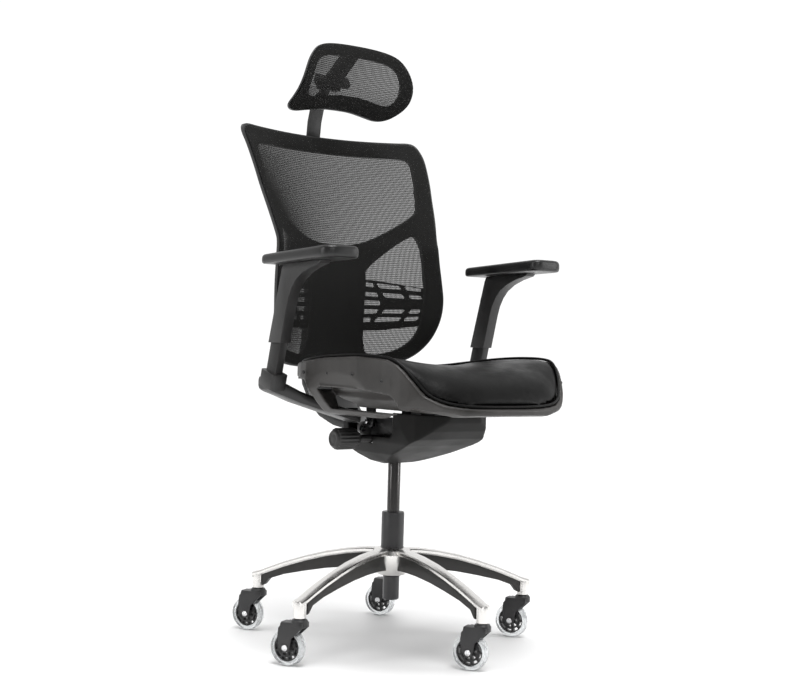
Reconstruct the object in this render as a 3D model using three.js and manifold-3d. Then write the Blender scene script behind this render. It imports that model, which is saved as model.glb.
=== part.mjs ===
// Swivel office chair with a mesh back, a tilting headrest, height-adjustable arms and five casters.
// Millimetres, +Z up. The column axis is X = Y = 0, the floor is Z = 0 and the sitter faces -Y.
import * as THREE from 'three'
import { mergeVertices } from 'three/addons/utils/BufferGeometryUtils.js'
import { TessellateModifier } from 'three/addons/modifiers/TessellateModifier.js'
import Module from 'manifold-3d'

const wasm = await Module()
wasm.setup()

// Base and casters.
const LEG_REACH = 315
const LEG_ANGLES = [270, 342, 54, 126, 198]
const LEG_TOP = [[30, 210], [60, 209], [100, 204], [150, 194], [200, 180], [250, 163], [290, 147], [312, 138]]
const STEM_FLOOR = 97
const WHEEL_RADIUS = 38
const TRAIL = [-12, 21]
const TRAIL_LENGTH = Math.hypot(TRAIL[0], TRAIL[1])

// Column.
const SLEEVE_RADIUS = 25
const SLEEVE_TOP = 290
const PISTON_RADIUS = 14

// Mechanism under the seat.
const HOUSING_FLOOR = 396
const HOUSING_TOP = 515
const SEAT_PIVOT = [8, 488]
const BACK_PIVOT = [45, 470]
const KNOB_AXIS = [-35, 455]

// Seat.
const SEAT_HALF_WIDTH = 239
const SEAT_FRONT = -383
const SEAT_REAR = 100

// Arms.
const ARM_X = 276.5
const ARM_LEAN = Math.atan(0.262)
const PAD_BOTTOM = 818
const PAD_RISE = 9 / 253

// Back: height, depth of the mesh on the centre line, depth at the edge, half width.
const BACK_TABLE = [
  [560, 262, 245, 150], [600, 259, 225, 160], [640, 256, 190, 195], [680, 250, 158, 215], [720, 246, 139, 226],
  [760, 244, 133, 231], [800, 245, 136, 229], [840, 250, 141, 224], [880, 256, 145, 221], [900, 260, 152, 223],
  [950, 270, 172, 231], [1000, 281, 195, 238], [1050, 294, 216, 245], [1100, 307, 242, 252], [1130, 315, 264, 256],
  [1160, 322, 282, 260],
]
const BACK_OUTLINE = [
  [0, 598], [80, 598], [135, 603], [170, 613], [196, 630], [212, 652], [222, 682], [229, 720], [232, 760],
  [229, 800], [224, 845], [221, 880], [223, 905], [231, 950], [238, 1000], [244, 1050], [249, 1100], [250, 1120],
  [247, 1136], [238, 1146], [222, 1148], [200, 1146], [100, 1142], [0, 1141],
]

// Headrest: height and depth of the mesh on the centre line; the ends come forward by the wing.
const HEAD_TABLE = [
  [1180, 290], [1195, 270], [1210, 238], [1225, 216], [1245, 201], [1265, 194], [1290, 192], [1320, 193], [1345, 200],
]
const HEAD_WING = 30
const HEAD_PIVOT = [309, 1262]

const black = new THREE.MeshStandardMaterial({ name: 'black_nylon', color: 0x1b1b1d, roughness: 0.55, metalness: 0 })
const grey = new THREE.MeshStandardMaterial({ name: 'dark_grey_nylon', color: 0x2b2c2e, roughness: 0.5, metalness: 0 })
const soft = new THREE.MeshStandardMaterial({ name: 'soft_black_pad', color: 0x141415, roughness: 0.6, metalness: 0 })
const leather = new THREE.MeshStandardMaterial({ name: 'black_leather', color: 0x151516, roughness: 0.42, metalness: 0 })
const weave = new THREE.MeshStandardMaterial({ name: 'black_mesh', color: 0x101011, roughness: 0.9, metalness: 0 })
const alloy = new THREE.MeshStandardMaterial({ name: 'polished_alloy', color: 0xc9cacc, roughness: 0.15, metalness: 1 })
const steel = new THREE.MeshStandardMaterial({ name: 'bright_steel', color: 0xb9babd, roughness: 0.3, metalness: 1 })
const dark = new THREE.MeshStandardMaterial({ name: 'black_steel', color: 0x17181a, roughness: 0.35, metalness: 0.6 })
const clear = new THREE.MeshStandardMaterial({ name: 'clear_tyre', color: 0xd8dadc, roughness: 0.2, metalness: 0 })

const chair = new THREE.Group()
chair.name = 'swivel_office_chair'

function volume(geometry) {
  const p = geometry.attributes.position
  const at = (i) => new THREE.Vector3().fromBufferAttribute(p, geometry.index.getX(i))
  let sum = 0
  for (let i = 0; i < geometry.index.count; i += 3) sum += at(i).dot(at(i + 1).cross(at(i + 2)))
  return sum
}

function weld(geometry) {
  const bare = geometry.clone()
  for (const name of Object.keys(bare.attributes)) if (name !== 'position') bare.deleteAttribute(name)
  const merged = mergeVertices(bare, 1e-3)
  const index = []
  for (let i = 0; i < merged.index.count; i += 3) {
    const [a, b, c] = [merged.index.getX(i), merged.index.getX(i + 1), merged.index.getX(i + 2)]
    if (a !== b && b !== c && a !== c) index.push(a, b, c)
  }
  merged.setIndex(index)
  if (volume(merged) < 0) {
    for (let i = 0; i < index.length; i += 3) [index[i], index[i + 1]] = [index[i + 1], index[i]]
    merged.setIndex(index)
  }
  return merged
}

function solid(geometry) {
  const g = weld(geometry)
  const mesh = new wasm.Mesh({
    numProp: 3,
    vertProperties: new Float32Array(g.attributes.position.array),
    triVerts: new Uint32Array(g.index.array),
  })
  return new wasm.Manifold(mesh)
}

function shell(manifold) {
  const mesh = manifold.getMesh()
  const geometry = new THREE.BufferGeometry()
  const points = new Float32Array(3 * mesh.numVert)
  for (let i = 0; i < mesh.numVert; i++) {
    for (let k = 0; k < 3; k++) points[3 * i + k] = mesh.vertProperties[i * mesh.numProp + k]
  }
  geometry.setAttribute('position', new THREE.BufferAttribute(points, 3))
  geometry.setIndex([...mesh.triVerts])
  return geometry
}

function add(name, geometry, material) {
  const body = geometry instanceof THREE.BufferGeometry ? weld(geometry) : shell(geometry)
  body.computeVertexNormals()
  const mesh = new THREE.Mesh(body, material)
  mesh.name = name
  chair.add(mesh)
}

function map(geometry, place) {
  const moved = geometry.clone()
  const p = moved.attributes.position
  for (let i = 0; i < p.count; i++) p.setXYZ(i, ...place(p.getX(i), p.getY(i), p.getZ(i)))
  return moved
}

function box(x0, x1, y0, y1, z0, z1) {
  const g = new THREE.BoxGeometry(x1 - x0, y1 - y0, z1 - z0)
  return solid(g.translate((x0 + x1) / 2, (y0 + y1) / 2, (z0 + z1) / 2))
}

function shape(points) {
  return new THREE.Shape(points.map(([x, y]) => new THREE.Vector2(x, y)))
}

function smooth(points, count) {
  const curve = new THREE.CatmullRomCurve3(points.map(([x, y]) => new THREE.Vector3(x, y, 0)), true, 'centripetal')
  return curve.getPoints(count).slice(0, -1).map((v) => [v.x, v.y])
}

function roundedRectangle(x0, x1, y0, y1, r, steps = 4) {
  const corners = [[x1 - r, y1 - r, 0], [x0 + r, y1 - r, 90], [x0 + r, y0 + r, 180], [x1 - r, y0 + r, 270]]
  const points = []
  for (const [cx, cy, start] of corners) {
    for (let i = 0; i <= steps; i++) {
      const a = THREE.MathUtils.degToRad(start + (90 * i) / steps)
      points.push([cx + r * Math.cos(a), cy + r * Math.sin(a)])
    }
  }
  return points
}

function prism(points, depth, holes = []) {
  const outline = shape(points)
  for (const hole of holes) outline.holes.push(new THREE.Path(hole.map(([x, y]) => new THREE.Vector2(x, y))))
  return new THREE.ExtrudeGeometry(outline, { depth, bevelEnabled: false, steps: 1 })
}

// A plan outline (x, y) raised between two heights.
function upright(points, z0, z1) {
  return solid(prism(points, z1 - z0).translate(0, 0, z0))
}

// A side profile (y, z) spread between two x values.
function across(points, x0, x1) {
  return solid(map(prism(points, x1 - x0), (y, z, x) => [x + x0, y, z]))
}

// A front profile (x, z) spread between two y values.
function along(points, y0, y1) {
  return solid(map(prism(points, y1 - y0), (x, z, y) => [x, y + y0, z]))
}

// A turned part; the profile is (radius, height) and the axis is vertical.
function turned(profile, segments = 32) {
  const points = profile.map(([r, z]) => new THREE.Vector2(r, z))
  const g = new THREE.LatheGeometry(points, segments)
  return map(g, (x, z, y) => [x, y, z])
}

// The same part laid along X, centred on (y, z).
function turnedAcross(profile, y, z, segments = 24) {
  return map(turned(profile, segments), (a, b, h) => [h, y + a, z + b])
}

function rod(radius, x0, x1, y, z, segments = 20) {
  return solid(turnedAcross([[0, x0], [radius, x0], [radius, x1], [0, x1]], y, z, segments))
}

// A bar that runs through stations: centre, two section directions and two half sizes.
function sweep(stations, corners = 16, squareness = 5) {
  const last = stations.length - 1
  const g = new THREE.CylinderGeometry(1, 1, 1, corners, last)
  return map(g, (x, y, z) => {
    const { c, u, v, a, b } = stations[Math.round((0.5 - y) * last)]
    const size = Math.pow(Math.abs(x) ** squareness + Math.abs(z) ** squareness, 1 / squareness)
    const k = Math.hypot(x, z) > 0.5 ? 1 / size : 0
    return [0, 1, 2].map((i) => c[i] + u[i] * a * x * k + v[i] * b * z * k)
  })
}

function lerpTable(table, key, column) {
  if (key <= table[0][0]) return table[0][column]
  for (let i = 1; i < table.length; i++) {
    if (key > table[i][0]) continue
    const [low, high] = [table[i - 1], table[i]]
    const t = (key - low[0]) / (high[0] - low[0])
    return low[column] + t * (high[column] - low[column])
  }
  return table[table.length - 1][column]
}

function subdivide(geometry, edge) {
  return new TessellateModifier(edge, 9).modify(weld(geometry).toNonIndexed())
}

// ---- Base: five polished legs on a hub, with darker webs underneath ----
function leg(angle) {
  const tops = LEG_TOP.map(([r, z]) => [r, z])
  const rail = sweep(tops.map(([r, z], i) => {
    const half = 16 - 3.5 * (i / (tops.length - 1))
    return { c: [r, 0, z - 7.5], u: [0, 1, 0], v: [0, 0, 1], a: half, b: 7.5 }
  }), 8, 4)
  const under = tops.slice().reverse().map(([r, z]) => [r, z - 14 - 34 * Math.pow(Math.max(0, 1 - r / 300), 0.45)])
  const web = map(prism([...tops.map(([r, z]) => [r, z - 5]), ...under], 20), (r, z, w) => [r, w - 10, z])
  const socket = turned([[0, STEM_FLOOR], [13, STEM_FLOOR], [14, 128], [12, 136], [0, 139]], 12).translate(LEG_REACH, 0, 0)
  const whole = solid(rail).add(solid(web)).add(solid(socket))
  return whole.rotate([0, 0, angle])
}

function baseStar() {
  const hub = solid(turned([[0, 150], [40, 150], [44, 166], [52, 180], [50, 196], [43, 211], [0, 211]], 30))
  let star = hub
  for (const angle of LEG_ANGLES) star = star.add(leg(angle))
  star = star.subtract(solid(turned([[0, 140], [25.7, 140], [25.7, 220], [0, 220]], 30)))
  for (const [x, y] of stems()) {
    star = star.subtract(solid(turned([[0, 90], [6.2, 90], [6.2, 128], [0, 128]], 10).translate(x, y, 0)))
  }
  return star
}

function stems() {
  return LEG_ANGLES.map((a) => {
    const t = THREE.MathUtils.degToRad(a)
    return [LEG_REACH * Math.cos(t), LEG_REACH * Math.sin(t)]
  })
}

add('base_star', baseStar(), alloy)
add('column_tube', turned([
  [14.5, 110], [14.5, SLEEVE_TOP], [22.5, SLEEVE_TOP], [SLEEVE_RADIUS, SLEEVE_TOP - 3], [SLEEVE_RADIUS, 152],
  [18, 148], [18, 99], [16, 97], [0, 97], [0, 110], [14.5, 110],
], 30), black)
add('piston', turned([
  [0, 205], [PISTON_RADIUS, 205], [PISTON_RADIUS, 452], [11, 458], [0, 458],
], 30), dark)

// ---- Casters: a hooded fork, a slotted hub, a clear tyre and a bright axle ----
const axleDirection = [TRAIL[1] / TRAIL_LENGTH, -TRAIL[0] / TRAIL_LENGTH]
const trailDirection = [TRAIL[0] / TRAIL_LENGTH, TRAIL[1] / TRAIL_LENGTH]

// Caster-local (trail, axle, height) to the chair frame.
function casterPlace([sx, sy]) {
  return (t, w, z) => [
    sx + t * trailDirection[0] + w * axleDirection[0],
    sy + t * trailDirection[1] + w * axleDirection[1],
    z,
  ]
}

function forkCheek(side) {
  const outline = [[-13, 90], [-13, 80], [10, 58], [14, 38], [16, 31], [24, 28], [32, 31], [36, 38], [42, 58], [40, 78], [30, 90]]
  return solid(map(prism(outline, 4), (t, z, w) => [t, side * (12.6 + w), z]))
}

function casterFork() {
  const crown = solid(turned([[0, 82], [17.5, 82], [17.5, 92], [15, 96.4], [5.6, 96.4], [5.6, 125], [0, 125]], 14))
  const roof = across([[-16.6, 79.6], [16.6, 79.6], [16.6, 86], [12, 90], [-12, 90], [-16.6, 86]], -13, 36)
  const hood = roof.subtract(solid(turned([[0, 60], [12, 60], [12, 79.4], [0, 79.4]], 8)))
  const bore = solid(map(turned([[0, -20], [4.6, -20], [4.6, 20], [0, 20]], 10), (a, b, h) => [TRAIL_LENGTH + a, h, 38 + b]))
  return crown.add(hood).add(forkCheek(1)).add(forkCheek(-1)).subtract(bore)
}

function wheelHub() {
  const holes = []
  for (let i = 0; i < 7; i++) {
    const a = (2 * i * Math.PI) / 7
    const slot = [[21, -0.22], [26, -0.24], [26, 0.24], [21, 0.22]]
    holes.push(slot.map(([r, d]) => [r * Math.cos(a + d), r * Math.sin(a + d)]))
  }
  for (let i = 0; i < 5; i++) {
    const a = (2 * i * Math.PI) / 5
    holes.push([[12, -0.3], [17, -0.3], [17, 0.3], [12, 0.3]].map(([r, d]) => [r * Math.cos(a + d), r * Math.sin(a + d)]))
  }
  holes.push(ring(4.8, 8))
  return map(prism(ring(28.2, 24), 15, holes), (a, b, h) => [a, h - 7.5, b])
}

function ring(radius, count) {
  return Array.from({ length: count }, (_, i) => {
    const a = (2 * Math.PI * i) / count
    return [radius * Math.cos(a), radius * Math.sin(a)]
  })
}

const tyreProfile = [
  [28.6, -10], [35, -10.5], [37.6, -5], [WHEEL_RADIUS, 0], [37.6, 5], [35, 10.5], [28.6, 10], [28.6, -10],
]
const axleProfile = [[0, -18.6], [6.5, -18.6], [6.5, -17], [4, -17], [4, 17], [6.5, 17], [6.5, 18.6], [0, 18.6]]

stems().forEach((stem, i) => {
  const place = casterPlace(stem)
  const atAxle = (t, w, z) => place(t + TRAIL_LENGTH, w, z + WHEEL_RADIUS)
  const lying = (profile, n) => map(turned(profile, n), (a, b, h) => [a, h, b])
  add(`caster_fork_${i + 1}`, map(shell(casterFork()), place), black)
  add(`wheel_hub_${i + 1}`, map(wheelHub(), atAxle), black)
  add(`wheel_tyre_${i + 1}`, map(lying(tyreProfile, 24), atAxle), clear)
  add(`wheel_axle_${i + 1}`, map(lying(axleProfile, 10), atAxle), steel)
})

// ---- Mechanism: a moulded bowl around the tilt box ----
function bowl(inset) {
  const plan = [[-100, 62], [-100, -150], [-92, -190], [-70, -225], [-40, -243], [40, -243], [70, -225], [92, -190], [100, -150], [100, 62]]
  const side = [[62, 516], [62, 440], [44, 416], [20, 402], [0, 396], [-20, 399], [-60, 411], [-110, 428], [-160, 446], [-196, 462], [-222, 480], [-239, 499], [-246, 516]]
  const front = mirrored([[0, 396], [30, 396], [52, 403], [80, 424], [94, 450], [99, 480], [101, 516], [0, 516]])
  const shrink = (points, cx, cy) => points.map(([x, y]) => [
    x - inset * Math.sign(x - cx) * Math.min(1, Math.abs(x - cx) / 40),
    y - inset * Math.sign(y - cy) * Math.min(1, Math.abs(y - cy) / 40),
  ])
  const body = upright(inset ? shrink(plan, 0, -90) : plan, 390, 530)
  const a = across(inset ? shrink(side, -90, 560) : side, -120, 120)
  const b = along(inset ? shrink(front, 0, 560) : front, -260, 80)
  return body.intersect(a).intersect(b)
}

function housing() {
  const pocket = bowl(4.5).add(box(-60, 60, -100, 90, 436, 530))
  const boss = solid(turned([[0, 399], [24, 399], [24, 430], [0, 430]], 24))
  let body = bowl(0).subtract(pocket).add(boss.intersect(bowl(0)))
  body = body.intersect(box(-120, 120, -260, 80, 380, HOUSING_TOP))
  for (const side of [-1, 1]) {
    const window = across([[40, 458], [-108, 462], [-122, 474], [-122, 520], [40, 520]], side > 0 ? 80 : -120, side > 0 ? 120 : -80)
    body = body.subtract(window)
  }
  body = body.subtract(rod(10, -120, -80, ...KNOB_AXIS))
  return body.subtract(solid(turned([[0, 380], [14.5, 380], [14.5, 440], [0, 440]], 32)))
}

function tiltBox() {
  const [sy, sz] = SEAT_PIVOT
  const [by, bz] = BACK_PIVOT
  let body = box(-56, 56, -120, 20, 442, 500)
  for (const side of [-1, 1]) {
    body = body.add(across([[10, 456], [56, 456], [60, 470], [56, 484], [10, 490]], side > 0 ? 50 : -56, side > 0 ? 56 : -50))
  }
  body = body.subtract(box(-48, 48, -112, 60, 468, 520)).subtract(rod(5.5, -80, 80, sy, sz)).subtract(rod(6.5, -80, 80, by, bz))
  const socket = solid(turned([[0, 420], [14.5, 420], [14.5, 460], [0, 460]], 32))
  return body.subtract(socket)
}

function springCoil() {
  const profile = [[0, 466]]
  for (let i = 0; i < 5; i++) {
    const z = 466 + 7 * i
    profile.push([6, z], [9.5, z + 2], [9.5, z + 5])
  }
  profile.push([0, 502])
  return turned(profile, 10).translate(-72, -100, 0)
}

function tensionKnob() {
  const outline = Array.from({ length: 40 }, (_, i) => {
    const a = (2 * Math.PI * i) / 40
    const r = i % 4 < 2 ? 22.5 : 21
    return [r * Math.cos(a), r * Math.sin(a)]
  })
  const [y, z] = KNOB_AXIS
  const grip = across(outline.map(([a, b]) => [y + a, z + b]), -184, -132)
  const face = solid(turnedAcross([[0, -190], [13, -189], [19, -184], [19, -180], [0, -180]], y, z))
  const collar = solid(turnedAcross([[0, -134], [19, -134], [15, -126], [0, -126]], y, z))
  return grip.add(face).add(collar)
}

add('mechanism_housing', housing(), grey)
add('tilt_box', tiltBox(), dark)
add('seat_pivot_pin', rod(5, -75, 75, ...SEAT_PIVOT), steel)
add('back_pivot_pin', rod(6, -62, 62, ...BACK_PIVOT), steel)
add('tilt_spring', springCoil(), dark)
add('tension_knob', tensionKnob(), grey)
add('tension_shaft', turnedAcross([[0, -125.6], [8, -125.6], [8, -56.6], [0, -56.6]], ...KNOB_AXIS, 20), dark)

function heightLever() {
  const u = [0, 1, 0]
  const v = [0, 0, 1]
  const run = [[58, 6, 6], [110, 6, 6], [128, 7, 6], [145, 14, 5], [170, 16, 4.5], [184, 12, 4]]
  return sweep(run.map(([x, a, b], i) => ({ c: [x, -30, 482 - Math.max(0, i - 2) * 3], u, v, a, b })), 12, 4)
}

add('height_lever', heightLever(), black)

// ---- Seat: a deep side-walled pan with lightening windows, and a thick leather cushion ----
const seatPlan = smooth(mirrored([
  [0, SEAT_FRONT], [75, SEAT_FRONT + 2], [125, -373], [160, -357], [188, -332], [208, -300], [224, -255], [235, -205],
  [SEAT_HALF_WIDTH, -160], [SEAT_HALF_WIDTH, -60], [233, 20], [215, 70], [170, 95], [90, SEAT_REAR], [0, SEAT_REAR],
]), 60)
const rimLine = [
  [-400, 532], [-383, 533], [-374, 536], [-358, 543], [-335, 559], [-315, 586], [-300, 603], [-285, 617],
  [-260, 628], [-178, 632], [-70, 627], [45, 614], [100, 603], [120, 600],
]
const panFloor = [[-400, 526], [-365, 528], [-335, 537], [-290, 556], [120, 560]]
const cushionCrown = [[-383, 566], [-360, 590], [-330, 607], [-280, 616], [-200, 617], [-100, 612], [0, 602], [100, 584]]
const cushionFloor = [[-400, 534], [-372, 536], [-350, 548], [-310, 563], [-260, 570], [120, 570]]

function insetPlan(distance) {
  return seatPlan.map(([x, y]) => {
    const k = 1 - distance / Math.hypot(x, y + 140)
    return [x * k, -140 + (y + 140) * k]
  })
}

function seatShell() {
  const side = [
    ...rimLine, [120, 583], [60, 583], [14, 577], [-28, 514], [-45, 508], [-305, 510], [-350, 518], [-400, 524],
  ]
  const front = mirrored([[0, 505], [196, 505], [210, 512], [222, 533], [233, 562], [240, 598], [244, 645], [0, 645]])
  let outer = upright(seatPlan, 500, 640).intersect(across(side, -260, 260)).intersect(along(front, -400, 120))
  for (const turn of [1, -1]) outer = outer.intersect(cornerSlope(turn))
  const pocketSide = [...panFloor, [120, 700], [-400, 700]]
  const pocket = upright(insetPlan(9), 500, 720).intersect(across(pocketSide, -260, 260))
  const under = [[140, 480], [140, 552], [-290, 548], [-325, 529], [-345, 519], [-345, 480]]
  const hollow = across(under, -190, 190)
  const opening = [[-34, 560], [-55, 571], [-160, 569], [-270, 557], [-287, 543], [-296, 521], [-62, 521]]
  const windows = across(opening, -260, 260).subtract(box(-186, 186, -400, 100, 480, 600))
  return outer.subtract(pocket).subtract(hollow).subtract(windows)
}

// The front corners draw in towards the bottom, square to a line from the seat centre.
function cornerSlope(turn) {
  const slope = [
    [-600, 480], [270, 480], [285, 505], [306, 515], [331, 524], [346, 530], [353, 538], [356, 549], [360, 580],
    [362, 660], [-600, 660],
  ]
  return along(slope, -600, 600).rotate([0, 0, turn > 0 ? -40 : 220])
}

// The rounded side panel under the tray, seen through each side window.
function belly(side) {
  const outside = [
    [236, 566], [214, 566], [204, 563], [196, 558.5], [190.5, 551], [186, 545], [172, 538], [150, 530],
    [120, 522], [92, 518.5],
  ]
  const inside = [
    [92, 547], [98, 547], [98, 524], [121, 527], [151, 535], [173, 543], [186.8, 547.4], [187.5, 555],
    [193.5, 563], [201, 567.5], [212, 569.4], [236, 569.4],
  ]
  const strip = [...outside, ...inside].map(([x, z]) => [side * x, z])
  const within = [[-36, 559], [-55.3, 570.2], [-160, 568.2], [-262, 557.3], [-262, 500], [-78.5, 500]]
  const panel = along(side > 0 ? strip : strip.reverse(), -262, -38).intersect(across(within, -260, 260))
  return panel.intersect(upright(insetPlan(1), 500, 600))
}

function cushionTop(x, y) {
  return lerpTable(cushionCrown, y, 1) + 18 * Math.min(1, Math.abs(x) / 200) ** 2
}

// Every point of the round cushion sits on a ray from the seat centre to the pan rim.
function seatCushion() {
  const rim = insetPlan(9.6)
  const sphere = new THREE.SphereGeometry(1, 36, 12)
  return map(sphere, (x, h, y) => {
    const radius = Math.min(1, Math.hypot(x, y))
    const angle = Math.atan2(y, x)
    const [rx, ry] = rimAt(rim, angle)
    const [px, py] = [rx * radius, -140 + (ry + 140) * radius]
    const edge = lerpTable(rimLine, ry, 1) + 0.5
    const round = Math.pow(Math.max(0, 1 - radius ** 5), 0.5)
    if (h > 1e-6) return [px, py, edge + (cushionTop(px, py) - edge) * round]
    if (h < -1e-6) return [px, py, lerpTable(cushionFloor, py, 1)]
    return [rx, ry, edge]
  })
}

function rimAt(rim, angle) {
  const turn = (p) => Math.atan2(p[1] + 140, p[0])
  for (let i = 0; i < rim.length; i++) {
    const [p, q] = [rim[i], rim[(i + 1) % rim.length]]
    const [a, b] = [turn(p), turn(q)]
    const span = Math.atan2(Math.sin(b - a), Math.cos(b - a))
    const step = Math.atan2(Math.sin(angle - a), Math.cos(angle - a))
    if (step >= -1e-9 && step <= span && span > 0) {
      const t = step / span
      return [p[0] + t * (q[0] - p[0]), p[1] + t * (q[1] - p[1])]
    }
  }
  return rim[0]
}

function seatBracket() {
  const [y, z] = SEAT_PIVOT
  const ear = [[-14 + y, 524], [-11 + y, z - 10], [y, z - 14], [11 + y, z - 10], [14 + y, 524]]
  const plate = box(-74, 74, -200, 44, 518, 547)
  const hollow = box(-66, 66, -192, 36, 500, 541)
  const ears = across(ear, 57.5, 65).add(across(ear, -65, -57.5)).add(box(57.5, 74, y - 14, y + 14, 520, 530)).add(box(-74, -57.5, y - 14, y + 14, 520, 530))
  return plate.subtract(hollow).add(ears).subtract(rod(5.5, -80, 80, y, z))
}

add('seat_shell', seatShell(), grey)
add('seat_belly_right', belly(-1), grey)
add('seat_belly_left', belly(1), grey)
add('seat_cushion', seatCushion(), leather)
add('seat_bracket', seatBracket(), dark)

// ---- Arms: bracket and post on the mechanism, sliding sleeve, pivoting pad, release button ----
function armLine(z) {
  return 47.7 - 0.262 * (z - 654)
}

// Post-local (across, fore-aft, up the lean) to the chair frame, measured from the sleeve mouth.
function onPost(side) {
  return (w, f, h) => [
    side * (ARM_X + w),
    armLine(654) + f * Math.cos(ARM_LEAN) - h * Math.sin(ARM_LEAN),
    654 + f * Math.sin(ARM_LEAN) + h * Math.cos(ARM_LEAN),
  ]
}

function leaning(side, w, f0, f1, h0, h1) {
  const g = new THREE.BoxGeometry(2 * w, f1 - f0, h1 - h0).translate(0, (f0 + f1) / 2, (h0 + h1) / 2)
  return solid(map(g, onPost(side)))
}

function armBracket(side) {
  const run = [
    [100.8, 24, 497, 34, 12], [135, 34, 508, 34, 12], [180, 50, 523, 33, 12.5], [225, 64, 539, 31, 14],
    [260, 72, 555, 28, 16], [285, 76, 566, 26, 18], [294, 77, 568, 22, 14],
  ]
  const arm = solid(sweep(run.map(([x, y, z, a, b]) => ({ c: [side * x, y, z], u: [0, 1, 0], v: [0, 0, 1], a, b }))))
  const foot = solid(map(prism(roundedRectangle(-19, 19, -29, 27, 8, 3), 34).translate(0, 0, -98), onPost(side)))
  const post = leaning(side, 8.5, -19, 19, -80, 70)
  return arm.add(foot).add(post).intersect(box(-330, 330, -100, 200, 470, 760))
}

function padUnder(y) {
  return PAD_BOTTOM + (68 - y) * PAD_RISE
}

function armSleeve(side) {
  const outline = [
    [71.5, 654], [24, 654], [4, 730], [-3, 750], [-14, 769], [-29, 785], [-52, 799], [-82, 810], [-116, 818],
    [-122, padUnder(-122) - 0.7], [20, padUnder(20) - 0.7], [26, 808],
  ]
  const [x0, x1] = side > 0 ? [ARM_X - 12.5, ARM_X + 12.5] : [-ARM_X - 12.5, -ARM_X + 12.5]
  const channel = leaning(side, 8.9, -19.4, 19.4, -20, 132)
  const pocket = leaning(side, 6.4, 19, 40, 84, 116)
  const bore = padAxis(side, [[0, -14], [7.4, -14], [7.4, 4], [0, 4]])
  return across(outline, x0, x1).subtract(channel).subtract(pocket).subtract(bore)
}

function padAxis(side, profile) {
  const lean = Math.atan(PAD_RISE)
  return solid(map(turned(profile, 20), (a, b, h) => [
    side * ARM_X + a,
    -20 + b * Math.cos(lean) + h * Math.sin(lean),
    padUnder(-20) - b * Math.sin(lean) + h * Math.cos(lean),
  ]))
}

function armPad(side) {
  const plan = [
    ...roundedRectangle(232, 319, -186, 69, 13, 3),
  ].map(([x, y]) => [x, y])
  const layers = { depth: 14, bevelEnabled: true, bevelThickness: 3.2, bevelSize: 3.5, bevelOffset: -3.5, bevelSegments: 2, steps: 1 }
  const g = new THREE.ExtrudeGeometry(shape(plan), layers)
  return map(g, (x, y, z) => {
    const t = (z + 3.2) / 20.4
    const thick = 21 + 5 * ((68 - y) / 253)
    return [side * x, y, padUnder(y) + thick * t]
  })
}

function pinAndPad(side) {
  return padAxis(side, [[0, -13], [7, -13], [7, -0.3], [0, -0.3]])
}

for (const [side, word] of [[-1, 'right'], [1, 'left']]) {
  add(`arm_bracket_${word}`, armBracket(side), black)
  add(`arm_sleeve_${word}`, armSleeve(side), black)
  add(`arm_pad_${word}`, armPad(side), soft)
  add(`arm_pad_pin_${word}`, pinAndPad(side), steel)
  add(`arm_button_${word}`, leaning(side, 6, 20, 28, 86, 114), grey)
}

// ---- Back: every plate follows the same dished surface ----
function backDepth(x, z) {
  const centre = lerpTable(BACK_TABLE, z, 1)
  const edge = lerpTable(BACK_TABLE, z, 2)
  const half = lerpTable(BACK_TABLE, z, 3)
  return centre - (centre - edge) * Math.min(1.25, (x / half) ** 2)
}

function mirrored(points) {
  const right = points.filter(([x]) => x > 0).reverse().map(([x, z]) => [-x, z])
  return [...points, ...right]
}

function dished(outline, holes, front, rear, edge) {
  const plate = subdivide(prism(outline, rear - front, holes), edge)
  return map(plate, (x, z, d) => [x, backDepth(x, z) + front + d, z])
}

function backWindows() {
  const upper = mirrored([
    [0, 884], [60, 889], [100, 903], [150, 932], [192, 962], [203, 975], [208, 1000], [214, 1050], [219, 1090],
    [214, 1106], [200, 1111], [100, 1109], [0, 1108],
  ])
  const lower = [
    [74, 626], [130, 632], [165, 645], [186, 668], [197, 705], [201, 760], [199, 810], [194, 870], [190, 905],
    [184, 914], [172, 910], [140, 888], [82, 836], [74, 822],
  ]
  return [upper, lower, lower.map(([x, z]) => [-x, z]).reverse()]
}

function backMesh() {
  const inner = BACK_OUTLINE.map(([x, z]) => [x * 0.985, 872 + (z - 872) * 0.988])
  return dished(mirrored(inner), [], -0.6, 0.4, 45)
}

function lumbarLattice() {
  const outline = mirrored([[0, 684], [120, 686], [206, 692], [208, 742], [206, 806], [110, 808], [0, 812]])
  const slots = []
  for (let row = 0; row < 5; row++) {
    const z = 700 + 21.5 * row
    for (const [x0, x1] of [[78, 116], [124, 160], [168, 194]]) {
      const slot = [[x0, z], [x1, z + 2], [x1, z + 11], [x0, z + 12]]
      slots.push(slot, slot.map(([x, h]) => [-x, h]).reverse())
    }
  }
  return dished(outline, slots, 18.8, 22.2, 75)
}

function backSpine() {
  const plate = solid(dished([[-66, 570], [66, 570], [70, 640], [72, 800], [66, 850], [40, 880], [-40, 880], [-66, 850], [-72, 800], [-70, 640]], [], 25.6, 41, 70))
  const run = [
    [30, 470, 48, 12], [60, 469, 48, 12], [110, 469, 50, 11], [165, 476, 54, 11], [215, 493, 58, 11],
    [253, 522, 62, 10], [280, 560, 64, 9], [293, 602, 62, 8],
  ]
  const stations = run.map(([y, z, a, b], i) => {
    const [p, q] = [run[Math.max(0, i - 1)], run[Math.min(run.length - 1, i + 1)]]
    const length = Math.hypot(q[0] - p[0], q[1] - p[1])
    return { c: [0, y, z], u: [1, 0, 0], v: [0, -(q[1] - p[1]) / length, (q[0] - p[0]) / length], a, b }
  })
  const [py, pz] = BACK_PIVOT
  return plate.add(solid(sweep(stations, 12, 6))).add(rod(14, -48, 48, py, pz)).subtract(rod(6.5, -80, 80, py, pz))
}

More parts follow.
